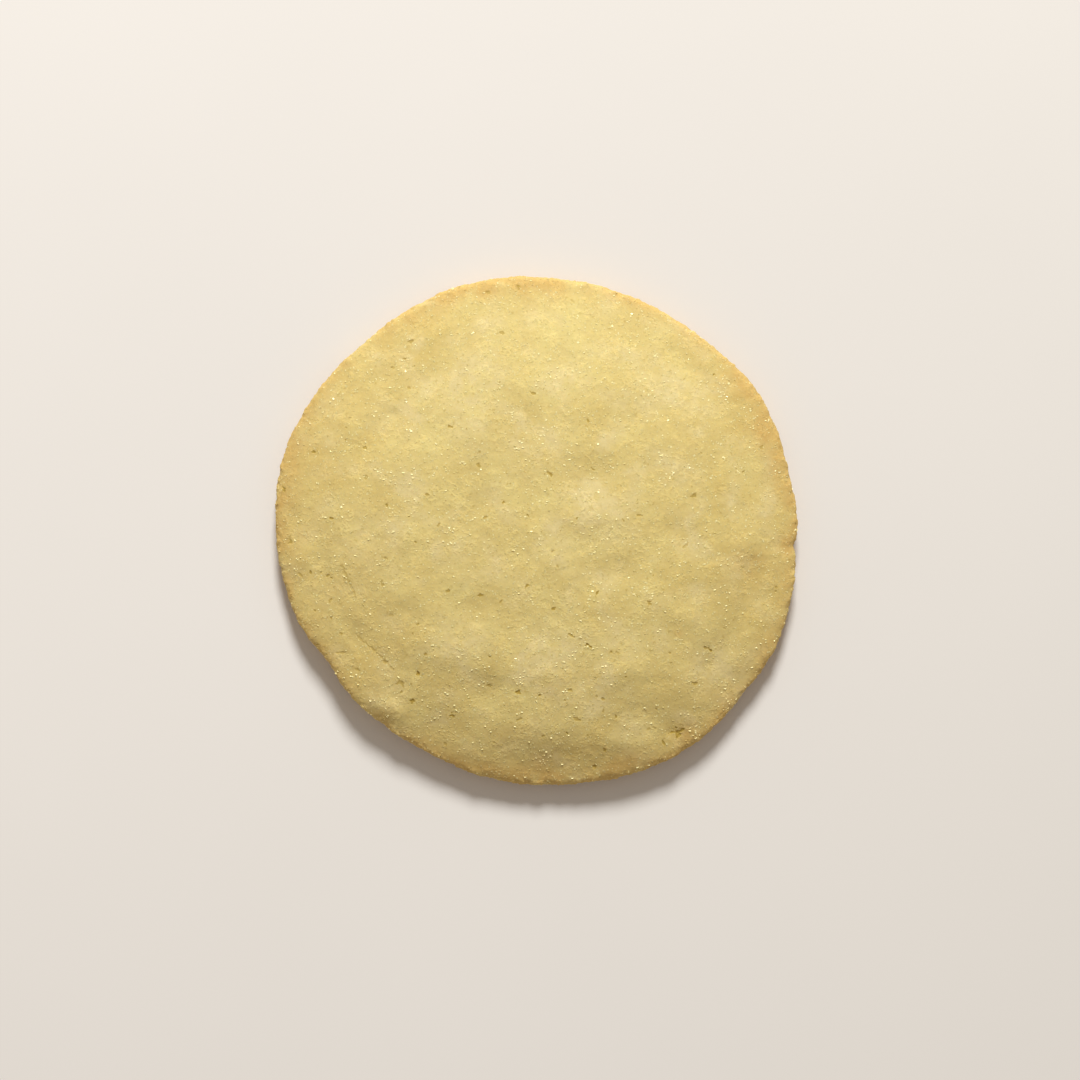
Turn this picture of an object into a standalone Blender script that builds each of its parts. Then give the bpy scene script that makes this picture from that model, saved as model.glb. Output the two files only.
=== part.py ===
"""A round sugar cookie, 76 mm across, lying on its flat underside with +Z up.

It is one closed body. A flat disc of even triangles is wrapped over it: the disc's middle becomes the
slightly domed top, its outer rings turn over the rounded rim and in under it, and one flat face closes
the underside. +Y is the side whose shoulder is gentle, and -Y the side whose shoulder falls away steeply.
"""

import math

import bmesh
import bpy
import numpy as np
from mathutils import Matrix, Vector, noise

MM = 0.001

# The flat disc that is wrapped over the cookie: six sides, and rings of triangles about its middle. The
# rings lie closer together where the rim turns over: share of the rings, share of the section's length.
# Round each pit the triangles are halved again, out to a little past the pit's edge.
DISC_SIDES = 6
RINGS = 42
RING_KNOTS = (0.00, 0.762, 0.929, 1.00)
LENGTH_KNOTS = (0.00, 0.860, 0.920, 1.00)
PIT_PASSES = 2
PIT_REACH = 1.5

# Outline of the widest line: angle from +X in degrees, radius in mm.
OUTLINE = (
    (0, 38.2), (12, 38.0), (32, 38.2), (45, 37.4), (68, 36.9), (90, 37.0), (104, 37.4), (120, 37.2),
    (131, 37.2), (148, 37.9), (164, 38.6), (180, 38.1), (195, 37.5), (204, 37.0), (212, 36.0), (220, 36.4),
    (230, 36.2), (243, 36.2), (258, 36.9), (275, 37.5), (290, 38.2), (308, 38.9), (321, 38.6), (334, 39.0),
    (343, 38.8), (353, 38.2),
)
MEAN_RADIUS = 37.5

# Sections from the middle of the top round the rim to the edge of the flat underside: share of the
# outline radius, height in mm. One is cut through the +Y side and the other through the -Y side.
GENTLE_SECTION = (
    (0.00, 8.1), (0.30, 7.8), (0.50, 7.2), (0.70, 6.05), (0.86, 4.7), (0.95, 3.9), (0.985, 3.45),
    (0.996, 3.1), (1.00, 2.5), (0.99, 1.4), (0.96, 0.5), (0.915, 0.0),
)
STEEP_SECTION = (
    (0.00, 8.1), (0.20, 7.95), (0.40, 7.65), (0.55, 7.2), (0.70, 6.35), (0.80, 5.45), (0.90, 4.35),
    (0.95, 3.8), (0.985, 3.35), (0.996, 3.1), (1.00, 2.4), (0.99, 1.4), (0.96, 0.5), (0.915, 0.0),
)
SECTION_SAMPLES = 600
RIM_BLEND = 0.06

# The outer band is lifted or sunk here: angle and half-width in degrees, the share of the outline radius
# where it starts, and the lift at the rim in mm.
CURLS = (
    (222, 18, 0.65, 0.70),
    (250, 13, 0.76, -0.12),
    (272, 13, 0.81, -0.43),
    (305, 16, 0.60, 0.24),
    (317, 18, 0.89, -0.24),
)
RIM_FROM = 0.80
RIM_FULL = 0.97

# Ring-shaped hollows between the raised middle and the outer band: share of the outline radius, first
# and last angle, half-width and depth in mm.
RING_HOLLOWS = (
    (0.725, 122, 155, 1.6, 0.22),
    (0.83, 190, 218, 1.1, 0.14),
    (0.86, 30, 48, 1.3, 0.16),
    (0.83, 325, 348, 1.6, 0.26),
)
RING_FADE = 10

# Broad forms of the top: x, y, half-length, half-width, turn in degrees, height, in mm.
FORMS = (
    (7.4, 8.0, 5.4, 2.4, 8, -0.32),
    (8.6, 2.0, 4.4, 2.1, -4, 0.25),
    (-1.0, -0.6, 4.0, 1.6, 0, 0.10),
    (-8.2, 3.2, 3.6, 1.8, 50, -0.26),
    (-15.0, 28.4, 4.0, 1.6, 25, 0.20),
    (-27.0, 15.0, 2.4, 3.0, 0, 0.18),
    (-22.4, 24.4, 2.4, 1.6, 0, 0.16),
    (-1.5, 21.2, 3.0, 1.8, -10, 0.18),
    (-0.4, 15.6, 2.0, 2.4, 0, -0.16),
    (-8.6, 14.0, 2.6, 3.7, 0, 0.31),
    (-9.5, 29.8, 3.0, 1.6, 15, 0.12),
    (-20.0, 9.6, 2.4, 1.8, 0, 0.10),
    (17.0, 13.6, 2.2, 1.8, 0, 0.10),
    (12.0, 21.4, 3.4, 1.8, 0, 0.16),
    (12.8, 16.0, 2.6, 2.0, 0, -0.12),
    (5.0, 24.4, 3.0, 1.4, 0, -0.12),
    (1.2, 28.6, 2.6, 1.4, 0, 0.12),
    (12.0, -5.6, 3.2, 1.9, 15, -0.30),
    (2.4, -4.2, 2.0, 1.8, 0, 0.20),
    (-2.0, -7.6, 2.6, 1.6, 0, 0.12),
    (21.4, -1.0, 3.4, 1.8, -25, -0.24),
    (31.2, -1.0, 1.9, 4.0, -10, 0.30),
    (-9.2, -11.2, 3.4, 2.2, -10, -0.22),
    (-8.6, -15.4, 2.4, 1.8, 0, 0.10),
    (-7.0, -6.6, 2.4, 1.4, 0, 0.08),
    (8.0, -10.4, 2.6, 1.6, 0, 0.08),
    (0.5, -14.6, 6.5, 1.8, -24, -0.14),
    (-12.8, -17.6, 6.5, 2.4, -12, 0.27),
    (-18.0, -9.6, 2.0, 2.0, 0, 0.22),
    (1.5, -20.8, 4.5, 1.4, -5, 0.16),
    (13.2, -20.4, 4.4, 2.0, 14, 0.28),
    (21.2, -22.0, 2.0, 3.0, -10, 0.28),
    (21.6, -12.6, 4.0, 1.6, -20, 0.22),
    (-7.0, -23.6, 3.0, 2.2, 0, -0.42),
    (16.6, -27.2, 3.6, 2.0, -30, -0.26),
    (0.0, -29.4, 5.0, 2.2, 0, 0.26),
    (11.5, -31.0, 5.0, 1.7, -12, 0.30),
    (-21.0, -26.2, 2.8, 1.6, -32, 0.50),
    (-8.4, -32.4, 3.6, 1.6, -20, 0.18),
    (-34.0, -4.0, 1.4, 1.8, 0, 0.32),
    (-25.0, -4.6, 2.4, 2.4, 0, 0.22),
    (-31.0, 11.0, 2.6, 1.0, 10, -0.12),
    (-20.2, -18.4, 2.6, 0.9, -58, -0.14),
    (-20.0, 15.6, 2.6, 1.6, 40, -0.16),
    (-24.6, 10.0, 3.0, 1.0, 68, -0.14),
    (-18.6, -1.2, 2.0, 1.6, 0, 0.20),
    (-27.6, -8.2, 2.6, 0.9, -62, -0.14),
    (-26.2, -16.0, 2.8, 0.9, -50, -0.14),
    (6.9, -20.6, 1.2, 3.0, 0, -0.20),
    (-4.5, -14.8, 1.6, 1.4, 0, -0.14),
    (3.0, -12.4, 2.4, 1.2, -35, -0.16),
    (9.0, 18.0, 3.0, 1.8, 0, 0.12),
    (33.6, -10.0, 2.0, 1.6, 0, -0.22),
)

# Narrow creases in the left of the top, with the same six numbers as the broad forms.
CREASES = (
    (-22.6, -18.2, 2.2, 0.65, -52, -0.20),
    (-20.6, 17.0, 1.0, 0.45, 40, -0.30),
)

# Open pits: x, y, half-length, half-width, turn in degrees, height, in mm.
PITS = (
    (20.4, -29.3, 0.85, 0.40, 12, -0.60),
    (-17.3, -20.6, 0.45, 0.45, 0, -0.45),
    (7.2, -16.5, 0.55, 0.32, -15, -0.40),
    (-2.7, -23.3, 0.38, 0.38, 0, -0.40),
    (8.4, -34.4, 0.45, 0.35, 0, -0.35),
    (-28.6, -17.7, 0.55, 0.35, -30, -0.35),
    (-7.1, 34.7, 0.40, 0.35, 0, -0.35),
    (-32.4, 11.4, 0.55, 0.35, 10, -0.30),
)
PIT_WALL = 0.5

# Bite out of the rim: angle, half-width and depth in mm.
NOTCH_ANGLE = -3.5
NOTCH_SPREAD = 0.9
NOTCH_DEPTH = 0.5

# Uneven baking: how far the noise moves the surface, and the size of its lumps, in mm.
LUMPS = ((0.09, 6.0, 3.0), (0.06, 2.6, 11.0))
RIM_LUMPS = ((0.16, 4.5, 21.0), (0.10, 2.0, 35.0))

DOUGH_COLOUR = (0.72, 0.55, 0.24, 1.0)
DOUGH_ROUGHNESS = 0.8
SHARP_ANGLE = math.radians(40)


def clear_scene():
    for obj in list(bpy.data.objects):
        bpy.data.objects.remove(obj, do_unlink=True)


def collection(name):
    made = bpy.data.collections.new(name)
    bpy.context.scene.collection.children.link(made)
    return made


def mix(first, second, share):
    return first + (second - first) * share


def ease(edge0, edge1, value):
    """0 at edge0 and 1 at edge1, with a smooth start and end."""
    share = min(1.0, max(0.0, (value - edge0) / (edge1 - edge0)))
    return share * share * (3.0 - 2.0 * share)


def spline(knots, values, at):
    """A smooth curve through the values at the knots, read at the places in at."""
    knots = np.asarray(knots, float)
    values = np.asarray(values, float)
    slopes = np.gradient(values, knots)
    left = np.clip(np.searchsorted(knots, at, side="right") - 1, 0, len(knots) - 2)
    width = knots[left + 1] - knots[left]
    t = (at - knots[left]) / width
    return (
        values[left] * (1 + 2 * t) * (1 - t) ** 2
        + values[left + 1] * t * t * (3 - 2 * t)
        + slopes[left] * width * t * (1 - t) ** 2
        - slopes[left + 1] * width * t * t * (1 - t)
    )


def closed_outline():
    """Radius for each whole degree, from one before 0 to one past 360."""
    angles = [angle + turn for turn in (-360, 0, 360) for angle, _ in OUTLINE]
    radii = [radius for _ in range(3) for _, radius in OUTLINE]
    whole = np.arange(-1, 362)
    return whole, spline(angles, radii, whole)


def even_section(points):
    """The section along its length: share of the length, share of the radius, height, and the rim's place."""
    points = np.array(points, float)
    steps = np.hypot(np.diff(points[:, 0]) * MEAN_RADIUS, np.diff(points[:, 1]))
    knots = np.concatenate([[0], np.cumsum(steps)])
    fine = np.linspace(0, knots[-1], SECTION_SAMPLES)
    out = spline(knots, points[:, 0], fine)
    height = spline(knots, points[:, 1], fine)
    lengths = np.concatenate([[0], np.cumsum(np.hypot(np.diff(out) * MEAN_RADIUS, np.diff(height)))])
    share = lengths / lengths[-1]
    return share, out / out.max(), height, share[out.argmax()]


OUTLINE_ANGLES, OUTLINE_RADII = closed_outline()
GENTLE = even_section(GENTLE_SECTION)
STEEP = even_section(STEEP_SECTION)


def disc_place(co):
    """Share of the section's length and angle of a point of the six-sided disc: its sides turn into rings."""
    angle = math.atan2(co.y, co.x) % (2 * math.pi)
    sector = 2 * math.pi / DISC_SIDES
    inside = angle % sector - sector / 2
    apothem = math.cos(sector / 2)
    share = co.xy.length * math.cos(inside) / apothem
    along = 0.5 + math.tan(inside) / (2 * math.tan(sector / 2))
    length = float(np.interp(share, RING_KNOTS, LENGTH_KNOTS))
    return length, (math.floor(angle / sector) + along) * sector


def bump(form, x, y):
    """Distance of a point from the middle of a form, in half-sizes of the form."""
    turn = math.radians(form[4])
    dx = x - form[0]
    dy = y - form[1]
    along = (dx * math.cos(turn) + dy * math.sin(turn)) / form[2]
    across = (dy * math.cos(turn) - dx * math.sin(turn)) / form[3]
    return math.hypot(along, across)


def lumps(layers, x, y, z):
    return sum(
        depth * noise.noise(Vector((x / size + shift, y / size - shift, z / size + shift)))
        for depth, size, shift in layers
    )


def ring_hollow(out, degrees, radius):
    depth = 0.0
    for share, first, last, half_width, deepest in RING_HOLLOWS:
        ends = ease(first - RING_FADE, first, degrees) * (1 - ease(last, last + RING_FADE, degrees))
        depth += deepest * ends * math.exp(-(((out - share) * radius / half_width) ** 2))
    return depth


def curl(out, degrees):
    return sum(
        lift * math.exp(-(((degrees - middle) / spread) ** 2)) * ease(start, RIM_FULL, out)
        for middle, spread, start, lift in CURLS
    )


def top_relief(x, y, out, degrees, radius):
    height = lumps(LUMPS, x, y, 0.0) - ring_hollow(out, degrees, radius)
    for form in FORMS + CREASES:
        height += form[5] * math.exp(-(bump(form, x, y) ** 2))
    for pit in PITS:
        height += pit[5] * (1 - ease(1 - PIT_WALL, 1 + PIT_WALL, bump(pit, x, y)))
    return height


def plain_point(share, angle):
    """The cookie before relief: share of the radius, height, how much it is on top, and the rim's place."""
    steep = 0.5 - 0.5 * math.sin(angle)
    out = mix(np.interp(share, GENTLE[0], GENTLE[1]), np.interp(share, STEEP[0], STEEP[1]), steep)
    height = mix(np.interp(share, GENTLE[0], GENTLE[2]), np.interp(share, STEEP[0], STEEP[2]), steep)
    rim = mix(GENTLE[3], STEEP[3], steep)
    return out, height, 1 - ease(rim - RIM_BLEND, rim, share), rim


def cookie_point(co):
    share, angle = disc_place(co)
    out, height, on_top, rim = plain_point(share, angle)
    degrees = math.degrees(angle)
    radius = float(np.interp(degrees, OUTLINE_ANGLES, OUTLINE_RADII))
    above = 1 - ease(rim, 1.0, share)
    near_rim = ease(RIM_FROM, RIM_FULL, out) * above
    x = math.cos(angle) * out * radius
    y = math.sin(angle) * out * radius
    from_notch = (degrees - NOTCH_ANGLE + 180) % 360 - 180
    notch = math.exp(-((math.radians(from_notch) * radius / NOTCH_SPREAD) ** 2))
    grown = (lumps(RIM_LUMPS, x, y, height) - NOTCH_DEPTH * notch) * near_rim / radius
    height += curl(out, degrees) * above
    height += on_top * top_relief(x, y, out, degrees, radius)
    return Vector((x * (1 + grown), y * (1 + grown), height))


def near_a_pit(edge):
    middle = (edge.verts[0].co + edge.verts[1].co) / 2
    share, angle = disc_place(middle)
    out = plain_point(share, angle)[0]
    radius = float(np.interp(math.degrees(angle), OUTLINE_ANGLES, OUTLINE_RADII))
    x = math.cos(angle) * out * radius
    y = math.sin(angle) * out * radius
    on_top = share < min(GENTLE[3], STEEP[3])
    return on_top and any(bump(pit, x, y) < 1 + PIT_REACH / (pit[2] + pit[3]) for pit in PITS)


def centre_on_origin(body):
    """Box middle over the origin and the underside on the table."""
    places = np.array([vertex.co for vertex in body.verts])
    middle = (places.min(axis=0) + places.max(axis=0)) / 2
    shift = Vector((-middle[0], -middle[1], -places[:, 2].min()))
    bmesh.ops.translate(body, verts=body.verts, vec=shift)


def dough_material():
    material = bpy.data.materials.new("baked_dough")
    material.use_nodes = True
    shader = material.node_tree.nodes["Principled BSDF"]
    shader.inputs["Base Color"].default_value = DOUGH_COLOUR
    shader.inputs["Roughness"].default_value = DOUGH_ROUGHNESS
    return material


def make_cookie(into):
    body = bmesh.new()
    bmesh.ops.create_circle(body, cap_ends=True, cap_tris=True, segments=DISC_SIDES, radius=1.0)
    bmesh.ops.rotate(body, verts=body.verts, matrix=Matrix.Rotation(math.pi / DISC_SIDES, 3, "Z"))
    bmesh.ops.subdivide_edges(body, edges=body.edges, cuts=RINGS - 1, use_grid_fill=True)
    for _ in range(PIT_PASSES):
        close = [edge for edge in body.edges if near_a_pit(edge)]
        bmesh.ops.subdivide_edges(body, edges=close, cuts=1, use_grid_fill=True)
        bmesh.ops.triangulate(body, faces=body.faces)
    for vertex in body.verts:
        vertex.co = cookie_point(vertex.co)
    open_edges = [edge for edge in body.edges if edge.is_boundary]
    bmesh.ops.contextual_create(body, geom=open_edges)
    bmesh.ops.recalc_face_normals(body, faces=body.faces)
    centre_on_origin(body)
    bmesh.ops.scale(body, verts=body.verts, vec=(MM, MM, MM))

    mesh = bpy.data.meshes.new("cookie")
    body.to_mesh(mesh)
    body.free()
    mesh.materials.append(dough_material())
    mesh.shade_smooth()
    mesh.set_sharp_from_angle(angle=SHARP_ANGLE)
    cookie = bpy.data.objects.new("cookie", mesh)
    into.objects.link(cookie)
    return cookie


clear_scene()
make_cookie(collection("sugar_cookie"))
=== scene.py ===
"""The dressed sugar cookie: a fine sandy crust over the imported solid, sugar crystals on it,
a floor, a light and a camera.

The named lengths are in millimetres and the named angles in degrees. +Y is the light's side.
Each layer of noise below is how strong it is, the size of its lumps and where in the noise it lies.
"""

import math
import random

import bmesh
import bpy
import numpy as np
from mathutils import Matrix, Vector, kdtree, noise


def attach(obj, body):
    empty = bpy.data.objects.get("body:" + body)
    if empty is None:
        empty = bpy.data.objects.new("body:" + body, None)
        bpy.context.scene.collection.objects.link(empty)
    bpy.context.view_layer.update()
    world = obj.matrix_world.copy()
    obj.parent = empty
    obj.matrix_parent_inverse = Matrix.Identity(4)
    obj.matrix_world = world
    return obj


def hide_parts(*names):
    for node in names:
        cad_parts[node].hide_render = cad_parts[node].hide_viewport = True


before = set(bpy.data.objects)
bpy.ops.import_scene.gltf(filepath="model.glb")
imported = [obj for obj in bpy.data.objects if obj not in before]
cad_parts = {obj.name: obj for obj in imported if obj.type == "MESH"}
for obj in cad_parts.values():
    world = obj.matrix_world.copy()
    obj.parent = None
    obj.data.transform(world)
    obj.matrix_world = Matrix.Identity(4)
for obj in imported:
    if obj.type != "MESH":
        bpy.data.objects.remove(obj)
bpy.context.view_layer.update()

MM = 0.001
SEED = 20

# ---------------------------------------------------------------- the crust's mesh
WELD = 0.002
LONGEST_EDGES = (0.80, 0.48)
UNDERSIDE_NORMAL = -0.99
UNDERSIDE_RING = 0.80
SMOOTHING = 5
RIM_SMOOTHING = 2
RIM_NORMAL = 0.88
# Edges are cut shorter round each pit, out to its half-length times the reach, plus the margin.
PIT_EDGES = (0.24, 0.15)
PIT_EDGE_REACH = 1.6
PIT_EDGE_NORMAL = 0.1
PIT_MARGIN = 0.20
# How far out the rim is at an angle is read off the points within the window to each side,
# and the readings are repeated past both ends of the round.
RIM_WINDOW = 1.5
RIM_WRAP = 3
# Where a point belongs to the underside: how much its normal points down, and how low it is.
UNDER_NORMAL = (0.15, -0.35)
UNDER_HEIGHT = (3.2, 1.2)

# ---------------------------------------------------------------- where the colours lie
# Browned arcs of the rim, partly painted shade where the rim should fall away from the light more
# steeply, round the bottom and the lower right: angle, half-width in degrees, how far in it reaches
# and how strong it is.
BROWN_AND_SHADE_ARCS = (
    (29, 13, 4.0, 1.05),
    (8, 13, 2.0, 0.60),
    (50, 16, 1.0, 0.45),
    (60, 14, 1.6, 0.50),
    (95, 14, 2.2, 0.80),
    (90, 40, 4.5, 0.26),
    (113, 11, 2.0, 0.60),
    (145, 14, 1.4, 0.45),
    (170, 15, 2.4, 0.85),
    (178, 52, 13.0, 0.24),
    (206, 18, 1.4, 0.50),
    (242, 14, 1.6, 0.28),
    (272, 24, 2.8, 0.90),
    (272, 45, 12.0, 0.10),
    (314, 14, 1.8, 0.65),
    (325, 20, 6.0, 0.10),
    (350, 15, 2.2, 0.62),
)
RIM_BROWN = 0.20
RIM_BROWN_REACH = 1.2
# Browned spots: x, y, reach and strength.
BROWN_SPOTS = (
    (31.0, -4.8, 2.6, 0.60),
    (33.0, -17.0, 2.0, 0.12),
    (36.0, -8.0, 1.6, 0.20),
    (22.0, -29.6, 1.8, 0.30),
    (13.0, -34.0, 2.0, 0.40),
    (0.0, -34.8, 2.0, 0.40),
    (-5.0, -29.0, 2.4, 0.15),
    (35.5, 0.0, 3.0, 0.10),
    (-5.0, -4.5, 2.0, 0.14),
    (0.0, -25.0, 4.0, 0.12),
    (0.0, 35.0, 3.0, 0.18),
    (20.6, -14.8, 0.7, 0.45),
    (37.3, -2.4, 1.1, 0.45),
    (36.0, 2.0, 2.2, 0.08),
)
BROWN_UNEVEN = 0.9
BROWN_NOISE = ((1.0, 4.0, 90.0), (0.6, 1.6, 95.0))
BROWN_UNEVEN_LIMITS = (0.3, 1.8)

# Broad patches of paler dough, and of deeper dough where the share is negative; the deeper patches
# near the lower right rim are painted shade for a slope the relief lacks: x, y, reach and share.
TONES = (
    (24.0, 12.0, 11.0, -0.65),
    (31.0, -8.0, 7.0, -0.85),
    (28.0, 3.0, 4.0, -0.20),
    (35.5, 0.0, 3.0, -0.30),
    (15.0, 19.5, 3.0, -0.55),
    (27.0, 24.0, 5.0, -0.30),
    (17.0, 14.0, 3.5, 0.90),
    (24.0, 18.0, 3.0, 0.50),
    (-18.0, 26.0, 4.5, -0.80),
    (-9.5, 27.5, 3.0, -0.60),
    (-28.0, 11.0, 4.0, -0.90),
    (-33.0, 5.5, 3.0, 0.30),
    (0.5, 16.0, 2.5, -0.50),
    (0.5, 11.5, 2.5, -0.45),
    (-28.5, -1.5, 2.5, -0.35),
    (-10.0, 16.0, 4.0, 0.90),
    (-20.5, 11.0, 3.5, 0.60),
    (-24.0, -18.0, 6.0, -0.40),
    (22.0, -27.0, 5.0, -0.80),
    (15.0, -23.0, 3.5, -0.60),
    (4.0, -33.0, 4.0, -0.25),
    (5.0, 30.5, 6.0, 0.70),
    (-10.0, 33.0, 4.0, 0.50),
    (12.0, 29.0, 4.0, 0.30),
    (4.0, 24.0, 4.0, 0.40),
    (10.0, 24.0, 4.0, 0.20),
    (-5.0, 24.0, 5.0, 0.50),
    (-26.0, 0.0, 4.0, 0.45),
    (-17.0, -1.5, 3.5, 0.50),
    (-14.0, 8.0, 5.0, 0.15),
    (1.5, -1.0, 4.0, 0.90),
    (12.0, -1.0, 3.5, 0.50),
    (7.0, -8.5, 3.0, 0.40),
    (-8.0, -15.0, 3.5, 0.55),
    (-6.7, -20.8, 1.5, -1.20),
    (-2.0, -26.0, 5.0, 0.40),
    (8.0, -17.0, 3.0, 0.30),
    (-31.0, -6.0, 3.5, 0.60),
    (-19.5, -28.5, 4.0, 1.00),
    (-8.0, -33.0, 3.5, 0.70),
)
TONE_NOISE = ((0.9, 6.0, 140.0), (0.6, 2.5, 145.0))

# Patches where more sugar lies on the crust: x, y, reach and strength.
SUGARY_SPOTS = (
    (8.4, 3.8, 3.6, 1.00),
    (-13.0, -16.0, 3.0, 0.45),
    (1.5, -18.2, 4.0, 1.00),
    (-8.0, 23.0, 3.4, 0.80),
    (0.0, 12.0, 4.0, 0.45),
    (12.0, -17.0, 3.0, 0.50),
    (-25.0, -2.0, 4.0, 0.45),
    (-10.0, 16.0, 3.5, 0.60),
    (24.0, 18.5, 3.0, 0.70),
    (-10.0, -16.5, 3.0, 0.50),
    (27.0, -21.0, 4.0, 0.60),
    (0.0, -31.0, 3.0, 0.30),
    (-15.0, 20.5, 2.6, 0.60),
    (4.0, 23.0, 2.8, 0.50),
    (20.0, 9.0, 3.0, 0.60),
    (-12.0, -2.5, 3.0, 0.45),
    (-20.5, 0.5, 2.4, 0.45),
    (-18.5, 7.5, 2.4, 0.50),
    (-22.0, -24.0, 2.6, 0.60),
    (7.0, -24.0, 3.0, 0.60),
    (12.0, 1.0, 2.6, 0.50),
    (25.0, -19.0, 2.4, 0.50),
    (14.0, -29.0, 2.6, 0.50),
    (3.0, -3.0, 2.6, 0.50),
)
SUGARY_UNEVEN = 1.2
SUGARY_NOISE = ((1.0, 2.2, 120.0), (0.8, 0.9, 125.0))
SUGARY_UNEVEN_LIMITS = (0.2, 2.0)
SUGARY_ELSEWHERE = ((1.2, 4.0, 130.0),)

# ---------------------------------------------------------------- pits, creases and relief
# The crust's own pits, 16 of them in the places of the solid's eight, kept shallow with the shade
# inside them painted: x, y, half-length, half-width, turn, depth and how strong their painted shade
# is.
FINE_PITS = (
    (19.9, -29.4, 0.55, 0.20, 0, 0.06, 1.00),
    (20.6, -29.4, 0.44, 0.36, 15, 0.06, 1.00),
    (21.2, -29.1, 0.40, 0.27, 35, 0.06, 1.00),
    (20.9, -29.8, 0.24, 0.26, 0, 0.04, 1.00),
    (-17.2, -20.9, 0.38, 0.30, 0, 0.08, 1.00),
    (-17.2, -20.6, 0.20, 0.36, 0, 0.08, 1.00),
    (7.2, -16.7, 0.34, 0.15, 48, 0.10, 1.00),
    (7.6, -16.7, 0.34, 0.15, -40, 0.10, 1.00),
    (7.4, -16.5, 0.24, 0.20, 0, 0.10, 1.00),
    (-2.6, -23.4, 0.26, 0.34, 0, 0.06, 1.00),
    (-2.8, -23.4, 0.24, 0.16, 0, 0.04, 1.00),
    (-26.1, -20.2, 0.45, 0.18, -20, 0.05, 0.60),
    (-36.8, 5.9, 0.22, 0.34, 0, 0.07, 0.92),
    (-30.4, -6.6, 0.30, 0.18, 30, 0.06, 0.77),
    (9.9, -31.9, 0.26, 0.18, -40, 0.06, 0.85),
    (-18.2, 27.5, 0.35, 0.25, 20, 0.06, 0.77),
    (-24.9, 12.0, 0.30, 0.20, 0, 0.06, 0.77),
    (22.7, 5.0, 0.30, 0.22, 20, 0.06, 0.77),
    (4.9, -15.1, 0.35, 0.20, -30, 0.06, 0.77),
    (24.5, -17.0, 0.30, 0.22, 0, 0.06, 0.77),
    (23.0, -22.2, 0.30, 0.22, 10, 0.06, 0.77),
    (4.8, -23.1, 0.30, 0.20, 0, 0.06, 0.77),
    (9.6, -24.4, 0.30, 0.20, 0, 0.06, 0.77),
    (-8.4, 9.5, 0.30, 0.20, 0, 0.06, 0.77),
    (-2.6, 35.6, 0.30, 0.20, 0, 0.06, 0.77),
    (-22.3, -7.8, 0.18, 0.40, 0, 0.05, 0.54),
    (-18.1, -24.7, 0.42, 0.22, 15, 0.09, 1.00),
    (5.8, -27.4, 0.38, 0.32, 0, 0.05, 0.69),
    (-29.9, 1.8, 0.28, 0.16, -25, 0.08, 1.00),
    (-32.4, 11.4, 0.38, 0.14, 0, 0.08, 1.00),
    (-29.8, -12.7, 0.16, 0.36, 0, 0.06, 0.77),
    (-35.9, -1.5, 0.16, 0.36, 0, 0.06, 0.77),
    (-32.9, -6.1, 0.16, 0.24, 0, 0.07, 0.92),
    (-19.6, -22.1, 0.40, 0.32, 0, 0.05, 0.69),
    (-5.1, 28.7, 0.35, 0.32, 0, 0.05, 0.69),
    (-22.0, -19.0, 0.30, 0.38, 0, 0.05, 0.69),
    (-6.9, -22.4, 0.40, 0.20, 0, 0.05, 0.69),
    (8.4, -34.4, 0.44, 0.24, 0, 0.05, 0.80),
    (8.5, -34.6, 0.26, 0.28, 0, 0.04, 0.80),
    (-28.6, -17.8, 0.55, 0.16, 5, 0.06, 0.60),
    (-7.1, 34.7, 0.34, 0.24, 0, 0.06, 0.60),
)
# Where the solid's own pits are softened, so that the crust's crisper, shallower ones, with
# painted shade in them, take their place: x, y and reach.
SOFTENED_PITS = (
    (20.4, -29.3, 2.2),
    (-17.3, -20.6, 1.3),
    (7.2, -16.5, 1.4),
    (-2.7, -23.3, 1.2),
    (8.4, -34.4, 1.2),
    (-28.6, -17.7, 1.3),
    (-7.1, 34.7, 1.2),
    (-32.4, 11.4, 1.3),
)
PIT_SOFTENING = 22

# Narrow creases at the left: the ends of each.
CREASES = (
    ((-28.4, -5.0), (-26.1, -9.6)),
    ((-26.1, -15.3), (-23.8, -17.2)),
    ((-23.8, -17.2), (-20.8, -20.2)),
)
# A crease is a row of dents, one to a step, with a half-length of this many steps.
CREASE_STEP = 0.7
CREASE_DENT_STEPS = 0.7
CREASE_HALF_WIDTH = (0.10, 0.20)
CREASE_DEPTH = 0.03
# How strong the painted shade in a crease's dents is.
CREASE_SHADE = 0.4
CREASE_JITTER = 0.1
CREASE_TURN = 20

# Pin-sized pits, scattered by chance.
PIN_PITS = 100
PIN_PITS_OUT = 36.5
PIN_PIT_HALF = (0.08, 0.19)
PIN_PIT_STRETCH = (1.0, 2.4)
PIN_PIT_TURN = 60
PIN_PIT_DEPTH = (0.03, 0.07)
# The chance of one at the middle, what a millimetre of y and of x takes off it and what one
# outwards adds.
PIN_PIT_CHANCE = (0.35, 0.013, 0.006, 0.004)

# How ragged the pits are, and the shares of their half-size at which the wall and the painted
# shade begin and are full.
PIT_RAGGED = 0.9
PIT_RAGGED_SIZE = 0.38
PIT_WALL = (1.2, 0.6)
PIT_SHADE_REACH = (1.25, 0.90)
PIT_SEARCH = 2.0
PIT_NORMAL = 0.15

# Relief by noise layers.
CRUST_NOISE = ((0.042, 1.5, 3.0), (0.024, 0.75, 17.0))
CRUST_NOISE_NORMAL = (-0.2, 0.3)
RIM_NOISE = ((0.15, 1.3, 41.0), (0.18, 0.50, 45.0))
RIM_NOISE_REACH = (1.1, 0.2)
UNDERSIDE_NOISE = ((0.10, 3.0, 61.0), (0.05, 1.2, 71.0))
UNDERSIDE_NOISE_REACH = (0.0, 0.6)

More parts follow.
